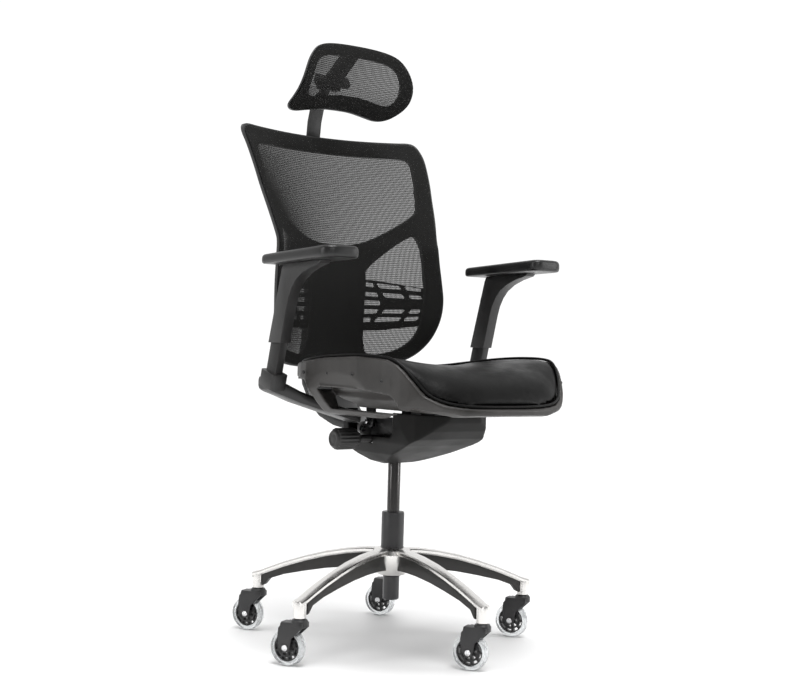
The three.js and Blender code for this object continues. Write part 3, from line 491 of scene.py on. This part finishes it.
# ---- Seat cushion ----
# Thick foam on a board, covered in soft black leather that is pulled over the front roll and
# stitched to a round welt where it meets the rim of the tray.
SEAT_CENTRE = -0.140
RIM_LINE = [(-0.400, 0.532), (-0.383, 0.533), (-0.374, 0.536), (-0.358, 0.543), (-0.335, 0.559),
            (-0.315, 0.586), (-0.300, 0.603), (-0.285, 0.617), (-0.260, 0.628), (-0.178, 0.632),
            (-0.070, 0.627), (0.045, 0.614), (0.100, 0.603), (0.120, 0.600)]
CROWN_LINE = [(-0.383, 0.566), (-0.360, 0.590), (-0.330, 0.607), (-0.280, 0.616), (-0.200, 0.617),
              (-0.100, 0.612), (0.0, 0.602), (0.100, 0.584)]
UNDER_LINE = [(-0.400, 0.534), (-0.372, 0.536), (-0.350, 0.548), (-0.310, 0.563), (-0.260, 0.570),
              (0.120, 0.570)]
HALF_PLAN = [(0.0, -0.383), (0.075, -0.381), (0.125, -0.373), (0.160, -0.357), (0.188, -0.332),
             (0.208, -0.300), (0.224, -0.255), (0.235, -0.205), (0.239, -0.160), (0.239, -0.060),
             (0.233, 0.020), (0.215, 0.070), (0.170, 0.095), (0.090, 0.100), (0.0, 0.100)]


def both_sides(points):
    return list(points) + [(-x, z) for x, z in reversed(points) if x > 0]


# A smooth line through the rows of a table, read at one key.
def read_line(rows, key, column=1):
    if key <= rows[0][0]:
        return rows[0][column]
    if key >= rows[-1][0]:
        return rows[-1][column]
    i = max(k for k in range(len(rows) - 1) if rows[k][0] <= key)
    low, high = rows[i], rows[i + 1]
    before, after = rows[max(0, i - 1)], rows[min(len(rows) - 1, i + 2)]
    width = high[0] - low[0]
    t = (key - low[0]) / width
    slope_low = (high[column] - before[column]) / (high[0] - before[0]) * width
    slope_high = (after[column] - low[column]) / (after[0] - low[0]) * width
    return ((2 * t**3 - 3 * t**2 + 1) * low[column] + (t**3 - 2 * t**2 + t) * slope_low
            + (3 * t**2 - 2 * t**3) * high[column] + (t**3 - t**2) * slope_high)


# Corner cutting, which turns an angular outline into a soft one.
def eased(points, rounds=2):
    for _ in range(rounds):
        cut = []
        for (a, b), (c, d) in zip(points, points[1:] + points[:1]):
            cut += [(0.75 * a + 0.25 * c, 0.75 * b + 0.25 * d), (0.25 * a + 0.75 * c, 0.25 * b + 0.75 * d)]
        points = cut
    return points


seat_plan = eased(both_sides(HALF_PLAN), 2)
plan_polar = sorted((math.atan2(y - SEAT_CENTRE, x), math.hypot(x, y - SEAT_CENTRE)) for x, y in seat_plan)
plan_polar = [(plan_polar[-1][0] - 2 * math.pi, plan_polar[-1][1]), *plan_polar,
              (plan_polar[0][0] + 2 * math.pi, plan_polar[0][1])]


def rim_point(angle, inset):
    reach = read_line(plan_polar, angle) - inset
    return reach * math.cos(angle), SEAT_CENTRE + reach * math.sin(angle)


leather_paint, leather_shader = base_finish("soft_black_leather", (0.018, 0.018, 0.019), 0.4)
leather_shader.inputs["Specular IOR Level"].default_value = 0.14
leather_place = node(leather_paint, "ShaderNodeTexCoord").outputs["Object"]
pebbles = node(leather_paint, "ShaderNodeTexVoronoi", {"Vector": leather_place, "Scale": 620.0},
               feature="SMOOTH_F1")
creases = node(leather_paint, "ShaderNodeTexNoise", {"Vector": leather_place, "Scale": 42.0, "Detail": 6.0})
pebble_bump = node(leather_paint, "ShaderNodeBump", {
    "Strength": 0.35, "Distance": 0.0005, "Height": pebbles.outputs["Distance"]})
crease_bump = node(leather_paint, "ShaderNodeBump", {
    "Strength": 0.12, "Distance": 0.004, "Height": creases.outputs["Fac"],
    "Normal": pebble_bump.outputs["Normal"]})
join_to(leather_paint, crease_bump.outputs["Normal"], leather_shader, "Normal")
leather_gloss = node(leather_paint, "ShaderNodeMapRange", {
    "Value": creases.outputs["Fac"], "From Min": 0.3, "From Max": 0.7, "To Min": 0.34, "To Max": 0.46})
join_to(leather_paint, leather_gloss.outputs["Result"], leather_shader, "Roughness")
leather_tone = node(leather_paint, "ShaderNodeValToRGB", {"Fac": pebbles.outputs["Distance"]})
leather_tone.color_ramp.elements[0].color = (0.0025, 0.0025, 0.0025, 1)
leather_tone.color_ramp.elements[1].color = (0.006, 0.0059, 0.0057, 1)
join_to(leather_paint, leather_tone.outputs["Color"], leather_shader, "Base Color")

COVER_INSET = 0.0125
cover = bmesh.new()
bmesh.ops.create_uvsphere(cover, u_segments=96, v_segments=40, radius=1.0)
for v in cover.verts:
    spread = min(1.0, math.hypot(v.co.x, v.co.y))
    rx, ry = rim_point(math.atan2(v.co.y, v.co.x), COVER_INSET)
    x, y = rx * spread, SEAT_CENTRE + (ry - SEAT_CENTRE) * spread
    edge = read_line(RIM_LINE, ry)
    if v.co.z > -1e-6:
        crown = read_line(CROWN_LINE, y) + 0.016 * min(1, abs(x) / 0.200) ** 2
        z = edge + (crown - edge) * math.sqrt(max(0.0, 1 - spread**5))
    else:
        fall = min(1.0, -v.co.z * 5)
        z = edge + (max(read_line(UNDER_LINE, y), read_line(UNDER_LINE, ry)) + 0.0015 - edge) * fall
    v.co = (x, y, z)
cushion = piece("seat_cushion_leather", cover, leather_paint, "seat", ["seat_cushion"],
                crease=180)


SWELL_FRAMES = 20


# Air pressure swells the cover off its foam; everything below the welt is held, and no point may
# move further than the cap.
def swell(soft, voxel, pressure, cap, held):
    remesh = soft.modifiers.new("even_mesh", "REMESH")
    remesh.mode = "VOXEL"
    remesh.voxel_size = voxel
    remesh.use_smooth_shade = True
    depsgraph = bpy.context.evaluated_depsgraph_get()
    even = bpy.data.meshes.new_from_object(soft.evaluated_get(depsgraph))
    soft.modifiers.clear()
    soft.data = even
    group = soft.vertex_groups.new(name="held")
    start = [v.co.copy() for v in even.vertices]
    group.add([v.index for v in even.vertices if held(v.co)], 1.0, "REPLACE")
    cloth = soft.modifiers.new("cover", "CLOTH")
    cloth.settings.vertex_group_mass = "held"
    cloth.settings.use_pressure = True
    cloth.settings.uniform_pressure_force = pressure
    cloth.settings.effector_weights.gravity = 0.0
    cloth.settings.quality = 5
    cloth.point_cache.frame_start, cloth.point_cache.frame_end = 1, SWELL_FRAMES
    scene = bpy.context.scene
    for step in range(1, SWELL_FRAMES + 1):
        scene.frame_set(step)
    swollen = soft.evaluated_get(bpy.context.evaluated_depsgraph_get()).to_mesh()
    moved = [v.co.copy() for v in swollen.vertices]
    soft.modifiers.clear()
    for vertex, old, new in zip(even.vertices, start, moved):
        push = new - old
        vertex.co = old + push * min(1.0, cap / max(push.length, 1e-9))
    scene.frame_set(1)


def cushion_held(point):
    return point.z < read_line(RIM_LINE, point.y) + 0.002


swell(cushion, 0.005, 4.0, 0.007, cushion_held)
relax = cushion.modifiers.new("relax", "SMOOTH")
relax.factor, relax.iterations = 0.5, 6
fine = cushion.modifiers.new("fine", "SUBSURF")
fine.levels = fine.render_levels = 1


# A round cord laid along a closed line.
def welt(name, points, radius, paint, body):
    line = bpy.data.curves.new(name, "CURVE")
    line.dimensions = "3D"
    line.bevel_depth = radius
    line.bevel_resolution = 3
    spline = line.splines.new("NURBS")
    spline.points.add(len(points) - 1)
    for target, point in zip(spline.points, points):
        target.co = (*point, 1)
    spline.use_cyclic_u = True
    spline.order_u = 4
    spline.resolution_u = 3
    curve = bpy.data.objects.new(name, line)
    bpy.context.scene.collection.objects.link(curve)
    shape = bmesh.new()
    depsgraph = bpy.context.evaluated_depsgraph_get()
    shape.from_mesh(bpy.data.meshes.new_from_object(curve.evaluated_get(depsgraph)))
    bpy.data.objects.remove(curve)
    bmesh.ops.remove_doubles(shape, verts=shape.verts[:], dist=1e-6)
    bmesh.ops.recalc_face_normals(shape, faces=shape.faces[:])
    return piece(name, shape, paint, body, crease=180)


WELT_RADIUS, WELT_INSET, WELT_LIFT, WELT_POINTS = 0.0030, 0.0085, 0.0028, 120
welt_line = []
for k in range(WELT_POINTS):
    x, y = rim_point(-math.pi + 2 * math.pi * (k + 0.5) / WELT_POINTS, WELT_INSET)
    welt_line.append((x, y, read_line(RIM_LINE, y) + WELT_LIFT))
welt("seat_welt", welt_line, WELT_RADIUS, leather_paint, "seat")

# ---- Arms ----
# Each arm has a moulded bracket and post bolted to the mechanism, a sleeve that slides on the post
# with a release button on its rear edge, and a soft pad that pivots on top.
arm_paint, arm_shader = base_finish("black_arm_nylon", (0.026, 0.026, 0.027), 0.4)
grain(arm_paint, arm_shader, 0.0009, 0.4, (0.33, 0.46), ((0.012, 0.012, 0.012), (0.022, 0.021, 0.021)))
pad_paint, pad_shader = base_finish("soft_arm_pad", (0.016, 0.016, 0.017), 0.36)
grain(pad_paint, pad_shader, 0.0013, 0.5, (0.32, 0.44), ((0.009, 0.009, 0.009), (0.016, 0.016, 0.016)))
PAD_REAR, PAD_LENGTH, PAD_LIFT = 0.068, 0.253, 0.009
PAD_LAYERS = [(0.0065, 0.00), (0.0030, 0.03), (0.0008, 0.12), (0.0, 0.28), (0.0, 0.62), (0.0010, 0.80),
              (0.0035, 0.93), (0.0085, 0.99), (0.0200, 1.00)]


def pad_under(y):
    return 0.818 + (PAD_REAR - y) * PAD_LIFT / PAD_LENGTH


def rounded_rectangle(x0, x1, y0, y1, radii, steps=6):
    corners = [(x1, y1, 0), (x0, y1, 90), (x0, y0, 180), (x1, y0, 270)]
    points = []
    for (cx, cy, start), radius in zip(corners, radii):
        ox = cx - radius if start in (0, 270) else cx + radius
        oy = cy - radius if start in (0, 90) else cy + radius
        for k in range(steps + 1):
            a = math.radians(start + 90 * k / steps)
            points.append((ox + radius * math.cos(a), oy + radius * math.sin(a)))
    return points


for side, word in ((-1, "right"), (1, "left")):
    piece(f"arm_post_{word}", rounded_copy(f"arm_bracket_{word}", 0.0022, 2, 30), arm_paint, "mechanism",
          [f"arm_bracket_{word}"], crease=32)
    piece(f"arm_slider_{word}", rounded_copy(f"arm_sleeve_{word}", 0.0026, 3, 30), arm_paint, f"arm_{word}",
          [f"arm_sleeve_{word}"], crease=32)
    piece(f"release_button_{word}", rounded_copy(f"arm_button_{word}", 0.0014, 3), bowl_paint,
          f"button_{word}", [f"arm_button_{word}"])
    piece(f"pad_pivot_{word}", rounded_copy(f"arm_pad_pin_{word}", 0.0006, 2, 60), pin_paint,
          f"arm_top_{word}", [f"arm_pad_pin_{word}"])
    pad = bmesh.new()
    sections = []
    for inset, share in PAD_LAYERS:
        plan = rounded_rectangle(0.232 + inset, 0.319 - inset, -0.186 + inset, 0.069 - inset,
                                 [max(0.004, r - 0.6 * inset) for r in (0.016, 0.016, 0.020, 0.030)])
        sections.append([(side * x, y, pad_under(y) + (0.0212 + 0.005 * (PAD_REAR - y) / PAD_LENGTH) * share)
                         for x, y in plan])
    bridge(pad, sections)
    soft_pad = piece(f"arm_pad_soft_{word}", pad, pad_paint, f"arm_top_{word}",
                     [f"arm_pad_{word}"], crease=60)
    smooth_pad = soft_pad.modifiers.new("soft", "SUBSURF")
    smooth_pad.levels = smooth_pad.render_levels = 1

# ---- Back frame ----
# One stiff moulding: a rim with two yoke arms that run down to a wide spine. Its front face follows
# the dished shape of the sitter's back, and the mesh is stretched over it.
BACK_TABLE = [
    (0.560, 0.262, 0.245, 0.150), (0.600, 0.259, 0.225, 0.160), (0.640, 0.256, 0.190, 0.195),
    (0.680, 0.250, 0.158, 0.215), (0.720, 0.246, 0.139, 0.226), (0.760, 0.244, 0.133, 0.231),
    (0.800, 0.245, 0.136, 0.229), (0.840, 0.250, 0.141, 0.224), (0.880, 0.256, 0.145, 0.221),
    (0.900, 0.260, 0.152, 0.223), (0.950, 0.270, 0.172, 0.231), (1.000, 0.281, 0.195, 0.238),
    (1.050, 0.294, 0.216, 0.245), (1.100, 0.307, 0.242, 0.252), (1.130, 0.315, 0.264, 0.256),
    (1.160, 0.322, 0.282, 0.260)]
BACK_HALF = [(0.0, 0.598), (0.080, 0.598), (0.135, 0.603), (0.170, 0.613), (0.196, 0.630), (0.212, 0.652),
             (0.222, 0.682), (0.229, 0.720), (0.232, 0.760), (0.229, 0.800), (0.224, 0.845), (0.221, 0.880),
             (0.223, 0.905), (0.231, 0.950), (0.238, 1.000), (0.244, 1.050), (0.249, 1.100), (0.250, 1.120),
             (0.247, 1.136), (0.238, 1.146), (0.222, 1.148), (0.200, 1.146), (0.100, 1.142), (0.0, 1.141)]
UPPER_WINDOW = [(0.0, 0.884), (0.060, 0.889), (0.100, 0.903), (0.150, 0.932), (0.192, 0.962),
                (0.203, 0.975), (0.208, 1.000), (0.214, 1.050), (0.218, 1.084), (0.213, 1.100),
                (0.200, 1.105), (0.100, 1.103), (0.0, 1.102)]
LOWER_WINDOW = [(0.074, 0.626), (0.130, 0.632), (0.165, 0.645), (0.186, 0.668), (0.197, 0.705),
                (0.201, 0.760), (0.199, 0.810), (0.194, 0.870), (0.190, 0.905), (0.184, 0.914),
                (0.172, 0.910), (0.140, 0.888), (0.082, 0.836), (0.074, 0.822)]


def back_depth(x, z):
    centre, edge, half = (read_line(BACK_TABLE, z, column) for column in (1, 2, 3))
    return centre - (centre - edge) * min(1.25, (x / half) ** 2)


def dish(shape, depth, front):
    for v in shape.verts:
        v.co.y += depth(v.co.x, v.co.z) + front


frame_paint, frame_shader = base_finish("black_back_nylon", (0.018, 0.018, 0.019), 0.42)
grain(frame_paint, frame_shader, 0.0010, 0.4, (0.36, 0.5), ((0.015, 0.015, 0.015), (0.024, 0.024, 0.024)))
rim_plate = flat_plate(eased(both_sides(BACK_HALF), 2), [
    eased(both_sides(UPPER_WINDOW), 2), eased(LOWER_WINDOW, 2), eased([(-x, z) for x, z in LOWER_WINDOW], 2)],
    0.0112, 0.0125)
round_edges(rim_plate, 0.0030, 3, 60)
dish(rim_plate, back_depth, 0.0030)
piece("back_rim", rim_plate, frame_paint, "back", ["back_frame"])
piece("back_spar", rounded_copy("back_spine", 0.0025, 2, 30), frame_paint, "back",
      ["back_spine"], crease=34)

# ---- Lumbar lattice ----
# A thin springy plate behind the mesh, cut like a leaf: five rows of slots between bars that draw
# together towards the edge, crossed by slanting veins.
SLOT_HALF = 0.0056
SLOT_ROWS = [
    (0.797, [(0.076, 0.104, 0.002), (0.112, 0.160, 0.006), (0.169, 0.199, 0.004)]),
    (0.774, [(0.076, 0.113, 0.005), (0.124, 0.167, 0.006), (0.177, 0.200, 0.004)]),
    (0.753, [(0.076, 0.119, 0.000)]),
    (0.732, [(0.076, 0.114, -0.005), (0.125, 0.168, -0.006), (0.178, 0.199, -0.004)]),
    (0.711, [(0.076, 0.100, -0.002), (0.110, 0.162, -0.006), (0.170, 0.196, -0.004)])]


def drawn_in(x, z):
    return 0.750 + (z - 0.750) * (1 - 0.20 * min(1.0, max(0.0, x - 0.074) / 0.126))


# An outline with its corners cut off at a fixed distance.
def clipped(points, reach):
    cut = []
    for before, here, after in zip(points[-1:] + points[:-1], points, points[1:] + points[:1]):
        for other in (before, after):
            length = math.dist(here, other)
            cut.append(tuple(a + (b - a) * reach / length for a, b in zip(here, other)))
    return cut


slots = []
for row, spans in SLOT_ROWS:
    for near, far, slant in spans:
        corners = [(near - slant / 2, row + SLOT_HALF), (near + slant / 2, row - SLOT_HALF),
                   (far + slant / 2, row - SLOT_HALF), (far - slant / 2, row + SLOT_HALF)]
        slot = clipped([(x, drawn_in(x, z)) for x, z in corners], 0.0022)
        slots += [slot, [(-x, z) for x, z in slot]]
lattice = flat_plate(both_sides([(0.0, 0.684), (0.120, 0.688), (0.206, 0.702), (0.208, 0.742), (0.206, 0.790),
                                 (0.110, 0.806), (0.0, 0.812)]), slots, 0.0032, 0.0125)
round_edges(lattice, 0.0008, 2, 60)
dish(lattice, back_depth, 0.0190)
piece("lumbar_leaf", lattice, frame_paint, "back", ["lumbar_lattice"])

# ---- Back mesh ----
# Black elastic net knitted in zigzag columns, stretched tight over the rim and welded round its
# edge, so light passes it wherever the frame is open.
net_paint, net_shader = base_finish("zigzag_net", (0.015, 0.015, 0.015), 0.75)
net_shader.inputs["Specular IOR Level"].default_value = 0.08
net_map = node(net_paint, "ShaderNodeUVMap", uv_map="weave")
net_split = node(net_paint, "ShaderNodeSeparateXYZ", {"Vector": net_map.outputs["UV"]})


def sum_of(material, kind, first, second=0.0, third=None):
    values = {0: first, 1: second}
    if third is not None:
        values[2] = third
    return node(material, "ShaderNodeMath", values, operation=kind).outputs[0]


COLUMN = 0.0030
ROW = 0.0044
net_columns = sum_of(net_paint, "DIVIDE", net_split.outputs["X"], COLUMN)
net_zigzag = sum_of(net_paint, "PINGPONG", net_columns, 1.0)
net_rows = sum_of(net_paint, "ADD", sum_of(net_paint, "DIVIDE", net_split.outputs["Y"], ROW),
                  sum_of(net_paint, "MULTIPLY", net_zigzag, 0.50))
across_hole = sum_of(net_paint, "ABSOLUTE", sum_of(
    net_paint, "SUBTRACT", sum_of(net_paint, "FRACT", net_columns), 0.5))
along_hole = sum_of(net_paint, "ABSOLUTE", sum_of(
    net_paint, "SUBTRACT", sum_of(net_paint, "FRACT", net_rows), 0.5))
across_open = node(net_paint, "ShaderNodeMapRange", {
    "Value": across_hole, "From Min": 0.17, "From Max": 0.26, "To Min": 1.0, "To Max": 0.0})
along_open = node(net_paint, "ShaderNodeMapRange", {
    "Value": along_hole, "From Min": 0.34, "From Max": 0.42, "To Min": 1.0, "To Max": 0.0})
hole = sum_of(net_paint, "MULTIPLY", across_open.outputs["Result"], along_open.outputs["Result"])
solid_share = sum_of(net_paint, "MULTIPLY_ADD", hole, -0.80, 1.0)
join_to(net_paint, solid_share, net_shader, "Alpha")
net_bump = node(net_paint, "ShaderNodeBump", {"Strength": 0.2, "Distance": 0.0004, "Height": solid_share})
join_to(net_paint, net_bump.outputs["Normal"], net_shader, "Normal")
net_tone = node(net_paint, "ShaderNodeTexNoise", {
    "Vector": net_map.outputs["UV"], "Scale": 400.0, "Detail": 2.0})
net_colour = node(net_paint, "ShaderNodeValToRGB", {"Fac": net_tone.outputs["Fac"]})
net_colour.color_ramp.elements[0].color = (0.014, 0.014, 0.0138, 1)
net_colour.color_ramp.elements[1].color = (0.030, 0.0298, 0.029, 1)
join_to(net_paint, net_colour.outputs["Color"], net_shader, "Base Color")


# How far it is along the cloth from the middle to a place, across or up.
def along_cloth(depth, x, z, middle, steps=16):
    across, upward = 0.0, 0.0
    for k in range(steps):
        near, far = x * k / steps, x * (k + 1) / steps
        across += math.copysign(math.hypot(far - near, depth(far, z) - depth(near, z)), x)
        low, high = middle + (z - middle) * k / steps, middle + (z - middle) * (k + 1) / steps
        upward += math.copysign(math.hypot(high - low, depth(0, high) - depth(0, low)), z - middle)
    return across, upward


# Net cut to an outline and laid on a dished surface; its weave is measured along the cloth.
def net(name, outline, depth, body, cad_node, cell):
    cloth = flat_plate(outline, [], 0, cell)
    area_before = sum(f.calc_area() for f in cloth.faces)
    dish(cloth, depth, 0.0)
    weave = cloth.loops.layers.uv.new("weave")
    cloth.verts.index_update()
    middle = sum(v.co.z for v in cloth.verts) / len(cloth.verts)
    spots = [along_cloth(depth, v.co.x, v.co.z, middle) for v in cloth.verts]
    for face in cloth.faces:
        for corner in face.loops:
            corner[weave].uv = spots[corner.vert.index]
    if sum(f.normal.y * f.calc_area() for f in cloth.faces) > 0:
        bmesh.ops.reverse_faces(cloth, faces=cloth.faces[:])
    area = sum(f.calc_area() for f in cloth.faces)
    made = piece(name, cloth, net_paint, body, [cad_node], crease=180)
    thick = made.modifiers.new("thread", "SOLIDIFY")
    thick.thickness = 0.0006
    thick.offset = -1.0
    return made


back_edge = [(x * 0.985, 0.872 + (z - 0.872) * 0.988) for x, z in eased(both_sides(BACK_HALF), 2)]
net("back_net", back_edge, back_depth, "back", "back_mesh", 0.0125)

# ---- Headrest ----
# A wide curved band of the same net on its own rim. A flat strut behind it ends in a hinge block on
# a curved stem, which slides in a socket on the top of the back.
HEAD_TABLE = [(1.180, 0.290), (1.195, 0.270), (1.210, 0.238), (1.225, 0.216), (1.245, 0.201), (1.265, 0.194),
              (1.290, 0.192), (1.320, 0.193), (1.345, 0.200)]
HEAD_HALF = [(0.0, 1.200), (0.040, 1.199), (0.080, 1.193), (0.110, 1.187), (0.132, 1.188), (0.148, 1.197),
             (0.154, 1.215), (0.153, 1.240), (0.147, 1.270), (0.135, 1.298), (0.115, 1.322), (0.090, 1.334),
             (0.050, 1.341), (0.0, 1.343)]
HEAD_WINDOW = [(0.0, 1.228), (0.040, 1.226), (0.080, 1.219), (0.105, 1.215), (0.118, 1.220), (0.124, 1.235),
               (0.122, 1.262), (0.114, 1.287), (0.098, 1.303), (0.070, 1.311), (0.030, 1.314), (0.0, 1.315)]


def head_depth(x, z):
    return read_line(HEAD_TABLE, z) - 0.030 * (x / 0.150) ** 2


head_plate = flat_plate(eased(both_sides(HEAD_HALF), 2), [eased(both_sides(HEAD_WINDOW), 2)], 0.0078, 0.008)
round_edges(head_plate, 0.0026, 3, 60)
dish(head_plate, head_depth, 0.0046)
piece("headrest_rim", head_plate, frame_paint, "headrest", ["headrest_frame"])
head_edge = [(x * 0.985, 1.265 + (z - 1.265) * 0.985) for x, z in eased(both_sides(HEAD_HALF), 2)]
net("headrest_net", head_edge, head_depth, "headrest", "headrest_mesh", 0.008)
piece("headrest_strut", rounded_copy("headrest_bracket", 0.0018, 3, 30), arm_paint, "headrest",
      ["headrest_bracket"], crease=32)
piece("headrest_stem_bar", rounded_copy("headrest_stem", 0.0012, 2, 40), arm_paint, "headrest_height",
      ["headrest_stem"], crease=40)
piece("headrest_hinge_pin", rounded_copy("headrest_pin", 0.0005, 2, 60), pin_paint, "headrest_height",
      ["headrest_pin"])
piece("headrest_socket_block", rounded_copy("headrest_socket", 0.0016, 2, 30), frame_paint, "back",
      ["headrest_socket"], crease=32)
